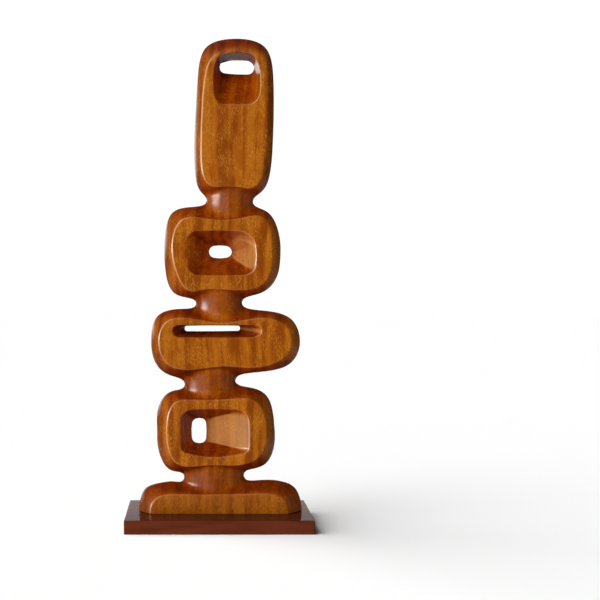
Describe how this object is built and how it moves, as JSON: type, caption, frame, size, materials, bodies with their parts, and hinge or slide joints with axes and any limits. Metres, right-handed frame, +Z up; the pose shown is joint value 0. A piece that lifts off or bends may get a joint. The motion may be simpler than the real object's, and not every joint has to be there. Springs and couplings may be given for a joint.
{
  "type": "carved wooden totem sculpture on a rectangular board",
  "caption": "Tall abstract totem carved from one plank: stacked rounded forms with tapering windows, joined by waisted necks, standing on a thin rectangular board.",
  "frame": {"origin": "middle of the board's underside, where it stands on a table or shelf", "axes": "+Z up the totem, +X to the right of someone facing its deep windows, +Y through the plank to its plain back"},
  "size_m": [0.265, 0.2, 0.7044],
  "materials": {
    "carved_wood": "clear glossy lacquer over orange-brown ribbon-grained hardwood",
    "plinth_wood": "dark red-brown stain under a smooth gloss lacquer"
  },
  "bodies": {
    "root": {"totem": "carved_wood", "plinth": "plinth_wood"}
  },
  "joints": []
}
